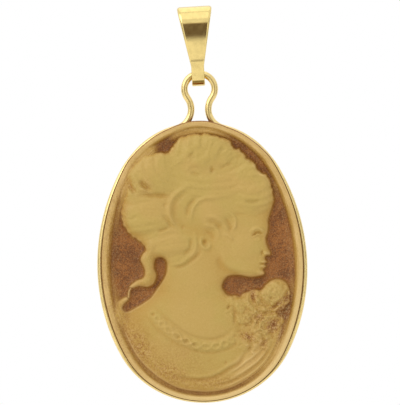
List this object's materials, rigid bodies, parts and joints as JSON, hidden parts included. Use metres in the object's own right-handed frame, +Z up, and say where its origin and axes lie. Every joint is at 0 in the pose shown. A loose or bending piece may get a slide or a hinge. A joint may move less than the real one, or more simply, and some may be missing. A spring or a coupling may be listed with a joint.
{
  "type": "cameo pendant",
  "caption": "Oval cameo pendant: a two-layer carved stone with a classical bust in relief, held in a round gold wire whose keyhole loop hangs from a tapered folded bail.",
  "frame": {"origin": "the chain seat: the inner top of the bail, where the chain carries the pendant", "axes": "+Z up, X across with the bust looking towards +X, the carved front faces -Y"},
  "size_m": [0.0188, 0.0037, 0.0357],
  "materials": {
    "bail_gold": "polished yellow gold",
    "wire_gold": "polished yellow gold",
    "ground_layer": "brown layer, frosted, paler where thin",
    "relief_layer": "pale tan layer, satin"
  },
  "bodies": {
    "bail": {"bail": "bail_gold"},
    "drop": {"frame_wire": "wire_gold", "stone_ground": "ground_layer", "bust_relief": "relief_layer"}
  },
  "joints": [
    {"name": "drop_swing", "type": "hinge", "parent": "bail", "child": "drop", "pos_m": [0.00025, 0, -0.0058], "axis": [1, 0, 0], "range_deg": [-120, 120]}
  ]
}
